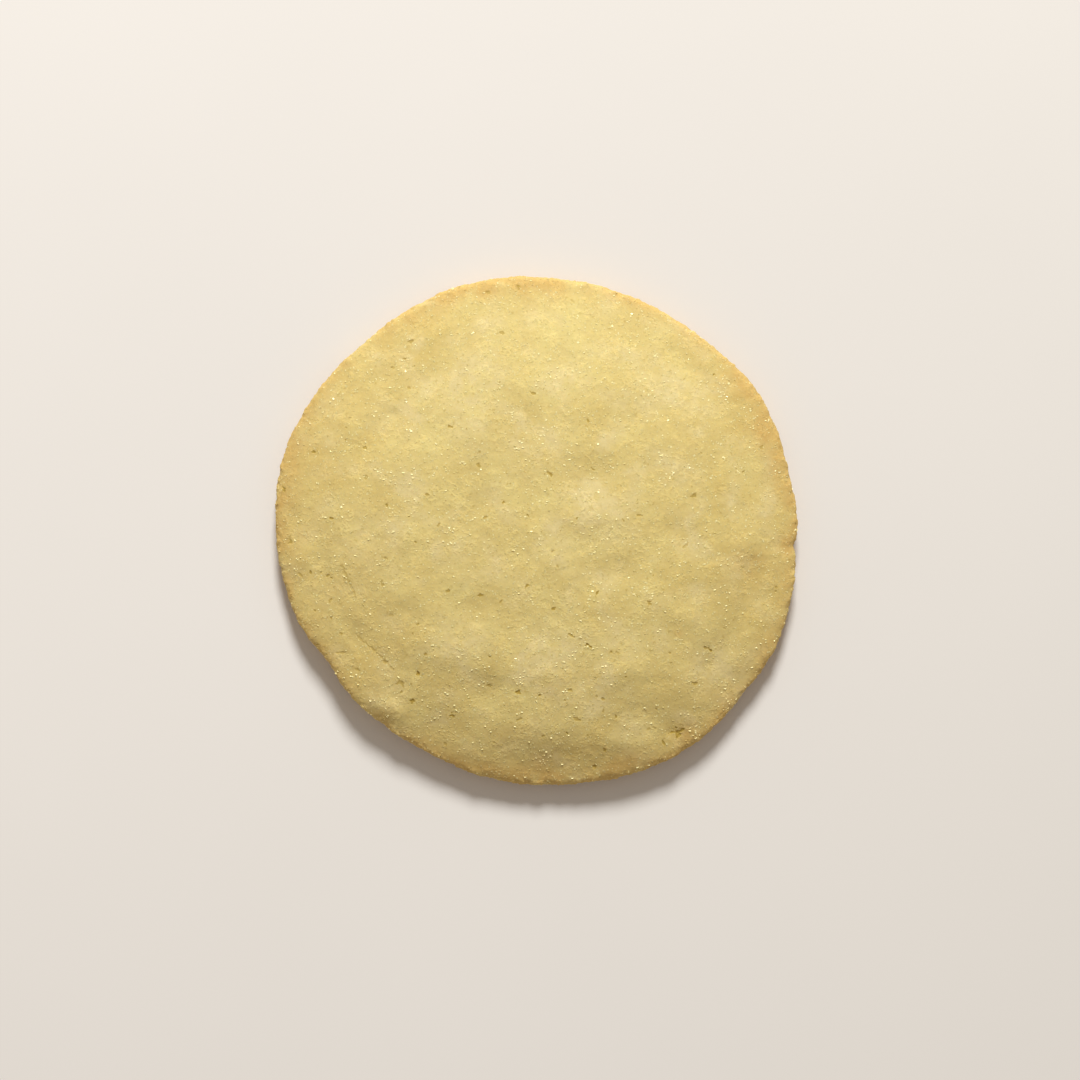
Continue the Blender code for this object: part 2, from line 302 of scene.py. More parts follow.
# ---------------------------------------------------------------- sugar
CRYSTALS = 16000
CRYSTAL_SIDE = (0.12, 0.26)
CRYSTAL_SIDE_POWER = 1.6
CRYSTAL_UNEVEN = (0.75, 1.2)
CRYSTAL_FLATNESS = 0.5
CRYSTAL_PROUD = (0.004, 0.026)
CRYSTAL_TILT = 0.20
CRYSTAL_NORMAL = (-0.1, 0.4)
DULL_WHITE = 0.6
# The bright grains, turned to glint, with a pale colour that is partly sugar's own and partly
# painted glint: their share between clusters and in them, the size and edge of a cluster, and the
# stretch along y over which they grow from the least share to the full one, fewest towards -Y,
# away from the light.
BRIGHT_SHARE = (0.017, 0.36)
BRIGHT_ON_SUGARY = 1.5
BRIGHT_CLUSTER = 1.7
BRIGHT_CLUSTER_EDGE = (0.1, 0.5)
BRIGHT_FEWER = (-36.0, -22.0)
BRIGHT_LEAST = 0.35
BRIGHT_SIDE = (0.12, 0.31)
BRIGHT_TILT = 0.16
BRIGHT_WHITE_AND_GLINT = (0.4, 0.95)

# The largest bright grains, pale with painted glint: x, y and side.
BIG_GRAINS = (
    (-12.3, -2.2, 0.42),
    (-19.8, -21.0, 0.38),
    (27.9, 21.6, 0.38),
    (5.5, -25.4, 0.32),
    (-0.9, -10.7, 0.32),
    (-18.8, 8.5, 0.32),
    (19.8, -1.6, 0.32),
    (24.5, 0.1, 0.28),
    (-20.9, -14.5, 0.28),
    (-22.1, -26.1, 0.30),
    (10.7, -22.6, 0.28),
    (4.0, -18.8, 0.28),
    (-31.2, 17.5, 0.28),
    (31.0, 12.0, 0.28),
)

# ---------------------------------------------------------------- studio
PICTURE_CENTRE = (0.51, -1.38)
PICTURE_WIDTH = 158.0
SCALE_PLANE = 2.6
LENS = 85.0
SENSOR = 36.0
KEY_ELEVATION = 34.5
KEY_AZIMUTH = 87.5
KEY_DISTANCE = 1170.0
KEY_SIZE = 330.0
KEY_POWER = 16.25
KEY_COLOUR = (0.97, 0.992, 1.0)
AMBIENT = 0.345
AMBIENT_COLOUR = (1.0, 0.90, 0.80)
FLOOR_SIZE = 5000.0
FLOOR_COLOUR = (0.850, 0.806, 0.756)
FLOOR_MOTTLE = 60.0
FLOOR_DARKER = 0.985
# Painted light: the floor's tint goes over from the first, lighter, to the second between -X and
# +X of this distance, for light that falls more strongly towards -X.
FLOOR_LIGHT_FADE = 75.0
FLOOR_PAINTED_LIGHT = ((1.0, 1.0, 1.0), (0.955, 0.955, 0.950))

# ---------------------------------------------------------------- colours
DOUGH = (0.696, 0.545, 0.200)
PALE = (0.738, 0.601, 0.232)
DEEP_AND_SHADE = (0.655, 0.496, 0.168)
SUGARY = (0.730, 0.590, 0.268)
BROWN_AND_SHADE = (0.635, 0.428, 0.135)
# Painted shade in the pits and creases, and the colour of the dark smudges.
PIT_SHADE_AND_SMUDGE = (0.450, 0.305, 0.055)
UNDER = (0.600, 0.400, 0.150)
UNDER_DARK = (0.440, 0.250, 0.075)
SUGAR = (0.690, 0.545, 0.205)
SUGAR_PALE = (0.745, 0.605, 0.240)
# Pale sugar, partly painted glint on the bright grains.
SUGAR_WHITE_AND_GLINT = (0.97, 0.86, 0.44)
SUGAR_GLINT = (1.0, 0.84, 0.46, 1.0)
# Most values of a noise texture lie between these.
NOISE_RANGE = (0.3, 0.7)
# Layers of the crust's colour: the size of their lumps, and how much darker and lighter they go.
SPECK_SIZE = 0.24
SPECK_LIGHT = (0.975, 1.025)
FINE_SIZE = 0.7
FINE_LIGHT = (0.97, 1.03)
SMUDGE_SIZE = 0.55
SMUDGE_RANGE = (0.66, 0.76)
SMUDGE_MOST = 0.38
# Thin wandering threads, raised by the bump and lightened in colour as a painted highlight.
THREAD_SIZE = 1.5
THREAD_HALF_WIDTH = 0.08
THREAD_HIGHLIGHT = 1.11
THREAD_PATCH_SIZE = 2.2
THREAD_PATCH_RANGE = (0.45, 0.60)
UNDER_CLOUD_SIZE = 5.0
UNDER_CLOUD_RANGE = (0.35, 0.65)
# The crust's sheen, and its finest relief: size, and strength and depth.
SHEEN_SIZE = 0.5
CRUST_ROUGHNESS = (0.68, 0.92)
SAND_SIZE = 0.30
SAND_BUMP = (0.14, 0.06)
CRUMB_SIZE = 0.55
CRUMB_BUMP = (0.42, 0.10)
THREAD_BUMP = (0.6, 0.05)
# The sugar's clouding, and its roughness over the range of its paleness and painted glint.
SUGAR_CLOUD_SIZE = 0.4
SUGAR_WHITE_RANGE = (0.3, 0.9)
SUGAR_ROUGHNESS = (0.75, 0.20)


def ease(edge0, edge1, value):
    """0 on the first edge's side, 1 on the second's, and a soft step between them."""
    share = np.clip((value - edge0) / (edge1 - edge0), 0.0, 1.0)
    return share * share * (3.0 - 2.0 * share)


# ================================================================ crust mesh
def open_shell(node):
    """The solid's top and rim as one shell of even small triangles, without its flat underside."""
    body = bmesh.new()
    body.from_mesh(node.data)
    bmesh.ops.remove_doubles(body, verts=body.verts, dist=WELD * MM)
    flat = [
        face
        for face in body.faces
        if face.normal.z < UNDERSIDE_NORMAL and max(v.co.z for v in face.verts) < WELD * MM
    ]
    bmesh.ops.delete(body, geom=flat, context="FACES")
    for longest in LONGEST_EDGES:
        split = [edge for edge in body.edges if edge.calc_length() > longest * MM]
        bmesh.ops.subdivide_edges(body, edges=split, cuts=1, use_grid_fill=True)
        bmesh.ops.triangulate(body, faces=body.faces)
    return body


def boundary_loop(body):
    """The open edge's points in order round it."""
    edges = {edge for edge in body.edges if edge.is_boundary}
    edge = next(iter(edges))
    loop = [edge.verts[0]]
    here = edge.verts[1]
    while here is not loop[0]:
        loop.append(here)
        edge = next(e for e in here.link_edges if e in edges and e is not edge)
        here = edge.other_vert(here)
    turns = [math.atan2(v.co.y, v.co.x) % (2 * math.pi) for v in loop]
    start = turns.index(min(turns))
    loop = loop[start:] + loop[:start]
    turning = sum(a.co.x * b.co.y - a.co.y * b.co.x for a, b in zip(loop, loop[1:] + loop[:1]))
    return loop if turning > 0 else loop[:1] + loop[:0:-1]


def bridge(body, outer, inner):
    """Triangles between two rings that run the same way round and start at about the same angle."""
    i = j = 0
    while i < len(outer) or j < len(inner):
        step_outer = (i + 1) / len(outer) <= (j + 1) / len(inner)
        if (step_outer and i < len(outer)) or j >= len(inner):
            corners = (outer[i % len(outer)], inner[j % len(inner)], outer[(i + 1) % len(outer)])
            i += 1
        else:
            corners = (outer[i % len(outer)], inner[j % len(inner)], inner[(j + 1) % len(inner)])
            j += 1
        body.faces.new(corners)


def close_underside(body):
    """Rings of points from the open edge in to the middle, with a fan of six triangles there."""
    loop = boundary_loop(body)
    angles = np.unwrap([math.atan2(v.co.y, v.co.x) for v in loop])
    radii = np.array([v.co.xy.length for v in loop])
    turn = 2 * math.pi
    angles = np.concatenate([angles - turn, angles, angles + turn])
    radii = np.tile(radii, 3)
    mean = radii.mean()
    rings = int(mean / (UNDERSIDE_RING * MM))
    outer = loop
    for ring in range(rings - 1, 0, -1):
        share = ring / rings
        count = 6 * ring
        ring_angles = angles[len(loop)] + turn * np.arange(count) / count
        ring_radii = np.interp(ring_angles, angles, radii) * share
        inner = [
            body.verts.new((math.cos(angle) * radius, math.sin(angle) * radius, 0.0))
            for angle, radius in zip(ring_angles, ring_radii)
        ]
        bridge(body, outer, inner)
        outer = inner
    middle = body.verts.new((0.0, 0.0, 0.0))
    for first, second in zip(outer, outer[1:] + outer[:1]):
        body.faces.new((first, middle, second))


def refine_pits(body, pits):
    """Shorter edges round each pit, so that its walls can be steep."""
    tree = kdtree.KDTree(len(pits))
    for index, pit in enumerate(pits):
        tree.insert((pit[0], pit[1], 0.0), index)
    tree.balance()
    widest = PIT_EDGE_REACH * max(pit[2] for pit in pits) + PIT_MARGIN
    for longest in PIT_EDGES:
        split = []
        for edge in body.edges:
            if edge.calc_length() < longest * MM or edge.link_faces[0].normal.z < PIT_EDGE_NORMAL:
                continue
            middle = (edge.verts[0].co + edge.verts[1].co) / 2 / MM
            near = tree.find_range((middle.x, middle.y, 0.0), widest)
            if any(away < PIT_EDGE_REACH * pits[index][2] + PIT_MARGIN for _, index, away in near):
                split.append(edge)
        bmesh.ops.subdivide_edges(body, edges=split, cuts=1, use_grid_fill=True)
        bmesh.ops.triangulate(body, faces=body.faces)
        body.normal_update()


def noise_at(places):
    """The noise at each of the places, from about -1 to 1."""
    return np.array([noise.noise(Vector(place)) for place in places])


class Crust:
    """The crust's points as arrays, in millimetres, with what the material needs at each."""

    def __init__(self, body):
        self.body = body
        body.verts.ensure_lookup_table()
        self.read()
        flat = np.hypot(self.co[:, 0], self.co[:, 1])
        self.angle = np.degrees(np.arctan2(self.co[:, 1], self.co[:, 0])) % 360
        rim = np.array([flat[np.abs(self.turned_from(d)) < RIM_WINDOW].max() for d in range(360)])
        rim = np.concatenate([rim[-RIM_WRAP:], rim, rim[:RIM_WRAP]])
        self.inward = np.interp(self.angle, np.arange(-RIM_WRAP, 360 + RIM_WRAP), rim) - flat
        # How strongly painted shade darkens each point, in the pits and creases.
        self.pit = np.zeros(len(self.co))
        self.under = ease(*UNDER_NORMAL, self.normal[:, 2]) * ease(*UNDER_HEIGHT, self.co[:, 2])

    def turned_from(self, angle):
        """How far round each point is from an angle, from -180 to 180."""
        return (self.angle - angle + 180) % 360 - 180

    def read(self):
        self.body.normal_update()
        self.co = np.array([v.co for v in self.body.verts]) / MM
        self.normal = np.array([v.normal for v in self.body.verts])

    def write(self):
        for vertex, place in zip(self.body.verts, self.co * MM):
            vertex.co = place

    def noise(self, layers):
        total = np.zeros(len(self.co))
        for depth, size, shift in layers:
            total += depth * noise_at(self.co / size + shift)
        return total


def smooth(body):
    """Softens the solid's facets, least at the crisp turn of the rim and most in its pits."""
    body.normal_update()
    above = [v for v in body.verts if v.co.z > WELD * MM]
    on_top = [v for v in above if v.normal.z > RIM_NORMAL]
    in_pits = [
        v
        for v in above
        if any(math.dist(v.co.xy / MM, (x, y)) < reach for x, y, reach in SOFTENED_PITS)
    ]
    steps = ((RIM_SMOOTHING, above), (SMOOTHING - RIM_SMOOTHING, on_top), (PIT_SOFTENING, in_pits))
    for passes, points in steps:
        for _ in range(passes):
            bmesh.ops.smooth_vert(
                body, verts=points, factor=0.5, use_axis_x=True, use_axis_y=True, use_axis_z=True
            )


def pit_distance(pit, places):
    """How far each place is from the pit's middle, 1 on its edge."""
    x, y, half_length, half_width, turn = pit[:5]
    offset = places[:, :2] - (x, y)
    cos, sin = math.cos(math.radians(turn)), math.sin(math.radians(turn))
    along = (offset[:, 0] * cos + offset[:, 1] * sin) / half_length
    across = (offset[:, 1] * cos - offset[:, 0] * sin) / half_width
    return np.hypot(along, across)


def press_pit(crust, tree, pit):
    """Pushes the crust down steeply in one pit and darkens it with painted shade, both with a
    ragged edge.
    """
    near = tree.find_range((pit[0], pit[1], 0.0), PIT_SEARCH * max(pit[2:4]))
    found = np.array([index for _, index, _ in near], int)
    places = crust.co[found]
    distance = pit_distance(pit, places) * (1 + PIT_RAGGED * noise_at(places / PIT_RAGGED_SIZE))
    depth, painted_shade = pit[5:]
    crust.co[found] -= crust.normal[found] * (ease(*PIT_WALL, distance) * depth)[:, None]
    crust.pit[found] = np.maximum(crust.pit[found], ease(*PIT_SHADE_REACH, distance) * painted_shade)


def pin_pits(rng):
    """Many tiny holes, more of them towards -Y and -X."""
    middle, less_by_y, less_by_x, more_outwards = PIN_PIT_CHANCE
    made = []
    while len(made) < PIN_PITS:
        angle = rng.uniform(0, 2 * math.pi)
        out = PIN_PITS_OUT * math.sqrt(rng.random())
        x, y = math.cos(angle) * out, math.sin(angle) * out
        if rng.random() > middle - less_by_y * y - less_by_x * x + more_outwards * out:
            continue
        half = rng.uniform(*PIN_PIT_HALF)
        half_length = half * rng.uniform(*PIN_PIT_STRETCH)
        turn = rng.uniform(-PIN_PIT_TURN, PIN_PIT_TURN)
        depth = rng.uniform(*PIN_PIT_DEPTH)
        # A deeper pin pit gets darker painted shade.
        made.append((x, y, half_length, half, turn, depth, depth / PIN_PIT_DEPTH[1]))
    return made


def crease_pits(rng):
    """Short narrow dents in a broken row along each crease, darkened with painted shade."""
    made = []
    for start, end in CREASES:
        start, end = Vector(start), Vector(end)
        turn = math.degrees(math.atan2(end.y - start.y, end.x - start.x))
        steps = round((end - start).length / CREASE_STEP)
        for step in range(steps):
            jitter = [rng.uniform(-CREASE_JITTER, CREASE_JITTER) for _ in range(2)]
            x, y = start.lerp(end, (step + 0.5) / steps) + Vector(jitter)
            half_length = CREASE_DENT_STEPS * CREASE_STEP
            half_width = rng.uniform(*CREASE_HALF_WIDTH)
            turned = turn + rng.uniform(-CREASE_TURN, CREASE_TURN)
            made.append((x, y, half_length, half_width, turned, CREASE_DEPTH, CREASE_SHADE))
    return made


def brown_and_shade_share(crust):
    """How browned the crust is at each point, with painted shade round the bottom and lower right
    of the rim, from 0 to 1.
    """
    uneven = 1 + BROWN_UNEVEN * crust.noise(BROWN_NOISE)
    total = RIM_BROWN * np.exp(-crust.inward / RIM_BROWN_REACH)
    for middle, spread, reach, strength in BROWN_AND_SHADE_ARCS:
        along = np.exp(-((crust.turned_from(middle) / spread) ** 2))
        total += strength * along * np.exp(-((crust.inward / reach) ** 2))
    total += spots(crust, BROWN_SPOTS)
    return np.clip(total * np.clip(uneven, *BROWN_UNEVEN_LIMITS), 0, 1)


def spots(crust, places):
    """The sum at each point of soft round spots: x, y, reach and strength of each."""
    total = np.zeros(len(crust.co))
    for x, y, reach, strength in places:
        off = np.hypot(crust.co[:, 0] - x, crust.co[:, 1] - y)
        total += strength * np.exp(-((off / reach) ** 2))
    return total


def tone_share(crust):
    """From -1 where the dough is deepest in colour to 1 where it is palest; the deepest patches
    near the lower right rim are painted shade.
    """
    return np.clip(spots(crust, TONES) + crust.noise(TONE_NOISE), -1, 1)


def sugary_share(crust):
    """How thickly the sugar lies at each point, from 0 to 1."""
    uneven = 1 + SUGARY_UNEVEN * crust.noise(SUGARY_NOISE)
    total = spots(crust, SUGARY_SPOTS) + np.maximum(crust.noise(SUGARY_ELSEWHERE), 0)
    return np.clip(total * np.clip(uneven, *SUGARY_UNEVEN_LIMITS), 0, 1)


def make_crust(node):
    """The visible crust: the solid's form with finer relief and pits, and where its colours lie."""
    pits = (*FINE_PITS, *pin_pits(random.Random(SEED)), *crease_pits(random.Random(SEED)))
    body = open_shell(node)
    smooth(body)
    refine_pits(body, pits)
    close_underside(body)
    bmesh.ops.recalc_face_normals(body, faces=body.faces)
    crust = Crust(body)

    on_top = ease(*CRUST_NOISE_NORMAL, crust.normal[:, 2])
    near_rim = ease(*RIM_NOISE_REACH, crust.inward) * (1 - crust.under)
    inside = ease(*UNDERSIDE_NOISE_REACH, crust.inward)
    rise = crust.noise(CRUST_NOISE) * on_top + crust.noise(RIM_NOISE) * near_rim
    rise -= np.abs(crust.noise(UNDERSIDE_NOISE)) * crust.under * inside
    crust.co += crust.normal * rise[:, None]

    top = np.flatnonzero(crust.normal[:, 2] > PIT_NORMAL)
    tree = kdtree.KDTree(len(top))
    for index in top:
        tree.insert((*crust.co[index, :2], 0.0), index)
    tree.balance()
    for pit in pits:
        press_pit(crust, tree, pit)

    brown_and_shade = brown_and_shade_share(crust)
    sugary = sugary_share(crust)
    crust.co[:, 2] = np.maximum(crust.co[:, 2], 0.0)
    crust.write()
    mesh = bpy.data.meshes.new("cookie_crust")
    body.to_mesh(mesh)
    body.free()
    mesh.shade_smooth()
    tone = tone_share(crust)
    shares = (
        ("browning_and_shade", brown_and_shade),
        ("sugary", sugary),
        ("pale", np.maximum(tone, 0)),
        ("deep_and_shade", np.maximum(-tone, 0)),
        ("pit", crust.pit),
        ("underside", crust.under),
    )
    for name, values in shares:
        layer = mesh.attributes.new(name, "FLOAT", "POINT")
        layer.data.foreach_set("value", values.astype(np.float32))
    piece = bpy.data.objects.new("cookie_crust", mesh)
    bpy.context.scene.collection.objects.link(piece)
    return piece


# ================================================================ sugar crystals
def unit(vectors):
    return vectors / np.linalg.norm(vectors, axis=1)[:, None]


def towards_key():
    """Direction from the cookie to the key light."""
    rise, side = math.radians(KEY_ELEVATION), math.radians(KEY_AZIMUTH)
    level = math.cos(rise)
    return Vector((level * math.cos(side), level * math.sin(side), math.sin(rise)))


def point_values(mesh, name):
    """A named value of the mesh at each of its points."""
    values = np.empty(len(mesh.vertices), np.float32)
    mesh.attributes[name].data.foreach_get("value", values)
    return values


def make_crystals(crust):
    """Small cuboid grains sunk in the crust, in one mesh. The bright ones are turned to glint, and
    their pale colour is partly painted glint.
    """
    rng = np.random.default_rng(SEED)
    mesh = crust.data
    mesh.calc_loop_triangles()
    corners = np.empty(len(mesh.loop_triangles) * 3, np.int32)
    mesh.loop_triangles.foreach_get("vertices", corners)
    corners = corners.reshape(-1, 3)
    places = np.empty(len(mesh.vertices) * 3, np.float32)
    mesh.vertices.foreach_get("co", places)
    places = places.reshape(-1, 3) / MM
    a, b, c = (places[corners[:, k]] for k in range(3))
    cross = np.cross(b - a, c - a)
    area = np.linalg.norm(cross, axis=1) / 2
    normal = cross / np.maximum(2 * area, 1e-9)[:, None]
    outside_pits = 1 - point_values(mesh, "pit")[corners[:, 0]]
    weight = area * ease(*CRYSTAL_NORMAL, normal[:, 2]) * outside_pits
    picked = rng.choice(len(corners), CRYSTALS, p=weight / weight.sum())
    u, v = rng.random(CRYSTALS), rng.random(CRYSTALS)
    flip = u + v > 1
    u[flip], v[flip] = 1 - u[flip], 1 - v[flip]
    spot = a[picked] + (b - a)[picked] * u[:, None] + (c - a)[picked] * v[:, None]

    cluster = ease(*BRIGHT_CLUSTER_EDGE, noise_at(spot / BRIGHT_CLUSTER))
    share = BRIGHT_SHARE[0] + (BRIGHT_SHARE[1] - BRIGHT_SHARE[0]) * cluster
    share *= BRIGHT_LEAST + (1 - BRIGHT_LEAST) * ease(*BRIGHT_FEWER, spot[:, 1])
    share *= 1 + BRIGHT_ON_SUGARY * point_values(mesh, "sugary")[corners[picked, 0]]
    bright = rng.random(CRYSTALS) < share
    larger = rng.random(CRYSTALS) ** CRYSTAL_SIDE_POWER
    side = CRYSTAL_SIDE[0] + (CRYSTAL_SIDE[1] - CRYSTAL_SIDE[0]) * larger
    side = np.where(bright, rng.uniform(*BRIGHT_SIDE, CRYSTALS), side)
    for x, y, big_side in BIG_GRAINS:
        nearest = np.hypot(spot[:, 0] - x, spot[:, 1] - y).argmin()
        bright[nearest] = True
        side[nearest] = big_side
    size = side[:, None] * rng.uniform(*CRYSTAL_UNEVEN, (CRYSTALS, 3)) * (1, 1, CRYSTAL_FLATNESS)
    proud = rng.uniform(*CRYSTAL_PROUD, CRYSTALS) - size[:, 2] / 2
    centre = spot + normal[picked] * proud[:, None]
    level = normal[picked] + rng.normal(0, CRYSTAL_TILT, (CRYSTALS, 3))
    halfway = np.array(towards_key() + Vector((0, 0, 1))) / 2
    glinting = halfway + rng.normal(0, BRIGHT_TILT, (CRYSTALS, 3))
    up = unit(np.where(bright[:, None], glinting, level))
    along = unit(np.cross(up, rng.normal(size=(CRYSTALS, 3))))
    turns = np.stack([along, np.cross(up, along), up], axis=2)
    box = np.array([(x, y, z) for z in (-0.5, 0.5) for y in (-0.5, 0.5) for x in (-0.5, 0.5)])
    points = np.einsum("nij,nkj->nki", turns, box[None] * size[:, None]) + centre[:, None]
    quads = np.array(
        [(0, 2, 3, 1), (4, 5, 7, 6), (0, 1, 5, 4), (2, 6, 7, 3), (0, 4, 6, 2), (1, 3, 7, 5)]
    )
    faces = (quads[None] + 8 * np.arange(CRYSTALS)[:, None, None]).reshape(-1, 4)

    made = bpy.data.meshes.new("sugar_crystals")
    made.from_pydata((points.reshape(-1, 3) * MM).tolist(), [], faces.tolist())
    # Paleness of each grain: random for the dull ones, and partly painted glint on the bright ones.
    bright_white_and_glint = rng.uniform(*BRIGHT_WHITE_AND_GLINT, CRYSTALS)
    white_and_glint = np.where(bright, bright_white_and_glint, DULL_WHITE * rng.random(CRYSTALS) ** 2)
    # Each grain takes the browned colour and painted shade of the crust under it.
    brown_and_shade = point_values(mesh, "browning_and_shade")[corners[picked, 0]]
    for name, values in (("white_and_glint", white_and_glint), ("browning_and_shade", brown_and_shade)):
        layer = made.attributes.new(name, "FLOAT", "POINT")
        layer.data.foreach_set("value", np.repeat(values, 8).astype(np.float32))
    piece = bpy.data.objects.new("sugar_crystals", made)
    bpy.context.scene.collection.objects.link(piece)
    return piece


# ================================================================ materials
# Places of the colour sockets of Blender's Mix node, which has one of each name for each kind.
MIX_SHARE, MIX_FIRST, MIX_SECOND, MIX_RESULT = 0, 6, 7, 2


class Nodes:
    """Short names for building one material's nodes."""

    def __init__(self, name):
        self.material = bpy.data.materials.new(name)
        self.material.use_nodes = True
        self.tree = self.material.node_tree
        self.shader = self.tree.nodes["Principled BSDF"]
        self.place = self.tree.nodes.new("ShaderNodeTexCoord").outputs["Object"]

    def add(self, kind, **settings):
        node = self.tree.nodes.new(kind)
        for name, value in settings.items():
            setattr(node, name, value)
        return node

    def link(self, source, socket):
        self.tree.links.new(source, socket)

    def attribute(self, name):
        return self.add("ShaderNodeAttribute", attribute_name=name).outputs["Fac"]

    def noise(self, size, detail=2.0, roughness=0.5):
        node = self.add("ShaderNodeTexNoise")
        node.inputs["Scale"].default_value = 1 / (size * MM)
        node.inputs["Detail"].default_value = detail
        node.inputs["Roughness"].default_value = roughness
        self.link(self.place, node.inputs["Vector"])
        return node.outputs["Fac"]

    def threads(self, size, half_width):
        """1 along thin wandering lines, 0 between them."""
        offset = self.math("SUBTRACT", self.noise(size, detail=3.0, roughness=0.6), 0.5)
        from_line = self.math("ABSOLUTE", offset, 0.0)
        return self.stretch(from_line, 0.0, half_width, 1.0, 0.0)

    def cells(self, size, output="Color"):
        node = self.add("ShaderNodeTexVoronoi")
        node.inputs["Scale"].default_value = 1 / (size * MM)
        self.link(self.place, node.inputs["Vector"])
        return node.outputs[output]

    def stretch(self, value, low, high, to_low=0.0, to_high=1.0):
        """The value's range from low to high, laid over the other one and held at its ends."""
        node = self.add("ShaderNodeMapRange")
        node.inputs["From Min"].default_value = low
        node.inputs["From Max"].default_value = high
        node.inputs["To Min"].default_value = to_low
        node.inputs["To Max"].default_value = to_high
        self.link(value, node.inputs["Value"])
        return node.outputs["Result"]

    def math(self, operation, first, second):
        node = self.add("ShaderNodeMath", operation=operation)
        for socket, value in zip(node.inputs, (first, second)):
            if isinstance(value, (int, float)):
                socket.default_value = value
            else:
                self.link(value, socket)
        return node.outputs["Value"]

    def mix(self, share, first, second, blend="MIX"):
        node = self.add("ShaderNodeMix", data_type="RGBA", blend_type=blend)
        for place, value in ((MIX_SHARE, share), (MIX_FIRST, first), (MIX_SECOND, second)):
            if isinstance(value, float):
                node.inputs[place].default_value = value
            elif isinstance(value, tuple):
                node.inputs[place].default_value = (*value, 1.0)
            else:
                self.link(value, node.inputs[place])
        return node.outputs[MIX_RESULT]

    def bump(self, height, strength, distance, under=None):
        node = self.add("ShaderNodeBump")
        node.inputs["Strength"].default_value = strength
        node.inputs["Distance"].default_value = distance * MM
        self.link(height, node.inputs["Height"])
        if under is not None:
            self.link(under, node.inputs["Normal"])
        return node.outputs["Normal"]


def crust_material():
    nodes = Nodes("baked_dough")
    base = nodes.mix(nodes.attribute("pale"), DOUGH, PALE)
    # Deeper dough, and painted shade near the lower right rim.
    base = nodes.mix(nodes.attribute("deep_and_shade"), base, DEEP_AND_SHADE)
    grain = nodes.add("ShaderNodeSeparateColor")
    nodes.link(nodes.cells(SPECK_SIZE), grain.inputs["Color"])
    speck = nodes.stretch(grain.outputs["Red"], 0.0, 1.0, *SPECK_LIGHT)
    fine_noise = nodes.noise(FINE_SIZE, detail=3.0, roughness=0.7)
    fine = nodes.stretch(fine_noise, *NOISE_RANGE, *FINE_LIGHT)
    smudge_noise = nodes.noise(SMUDGE_SIZE, detail=1.0)
    smudge = nodes.stretch(smudge_noise, *SMUDGE_RANGE, 0.0, SMUDGE_MOST)
    shown = nodes.stretch(nodes.noise(THREAD_PATCH_SIZE, detail=1.0), *THREAD_PATCH_RANGE)
    threads = nodes.math("MULTIPLY", nodes.threads(THREAD_SIZE, THREAD_HALF_WIDTH), shown)
    # The threads' painted highlight, laid over the colour's random grain.
    thread_highlight = nodes.stretch(threads, 0.0, 1.0, 1.0, THREAD_HIGHLIGHT)
    shade = nodes.math("MULTIPLY", nodes.math("MULTIPLY", speck, fine), thread_highlight)
    cloud_noise = nodes.noise(UNDER_CLOUD_SIZE, detail=4.0, roughness=0.65)
    under = nodes.mix(nodes.stretch(cloud_noise, *UNDER_CLOUD_RANGE), UNDER, UNDER_DARK)
    base = nodes.mix(nodes.attribute("sugary"), base, SUGARY)
    # Browned dough, and painted shade round the bottom and lower right of the rim.
    base = nodes.mix(nodes.attribute("browning_and_shade"), base, BROWN_AND_SHADE)
    base = nodes.mix(nodes.attribute("underside"), base, under)
    # Dark smudges at random, then painted shade in the pits and creases.
    base = nodes.mix(smudge, base, PIT_SHADE_AND_SMUDGE)
    base = nodes.mix(nodes.attribute("pit"), base, PIT_SHADE_AND_SMUDGE)
    lit = nodes.add("ShaderNodeCombineColor")
    for channel in ("Red", "Green", "Blue"):
        nodes.link(shade, lit.inputs[channel])
    colour = nodes.mix(1.0, base, lit.outputs["Color"], blend="MULTIPLY")
    nodes.link(colour, nodes.shader.inputs["Base Color"])

    rough = nodes.stretch(nodes.noise(SHEEN_SIZE), *NOISE_RANGE, *CRUST_ROUGHNESS)
    nodes.link(rough, nodes.shader.inputs["Roughness"])
    nodes.shader.inputs["Specular IOR Level"].default_value = 0.35
    nodes.shader.inputs["Subsurface Weight"].default_value = 0.25
    nodes.shader.inputs["Subsurface Radius"].default_value = (1.0, 0.85, 0.6)
    nodes.shader.inputs["Subsurface Scale"].default_value = 0.6 * MM
    sandy = nodes.bump(nodes.cells(SAND_SIZE, "Distance"), *SAND_BUMP)
    crumb_noise = nodes.noise(CRUMB_SIZE, detail=3.0, roughness=0.6)
    crumb = nodes.bump(crumb_noise, *CRUMB_BUMP, under=sandy)
    ridged = nodes.bump(threads, *THREAD_BUMP, under=crumb)
    nodes.link(ridged, nodes.shader.inputs["Normal"])
    return nodes.material


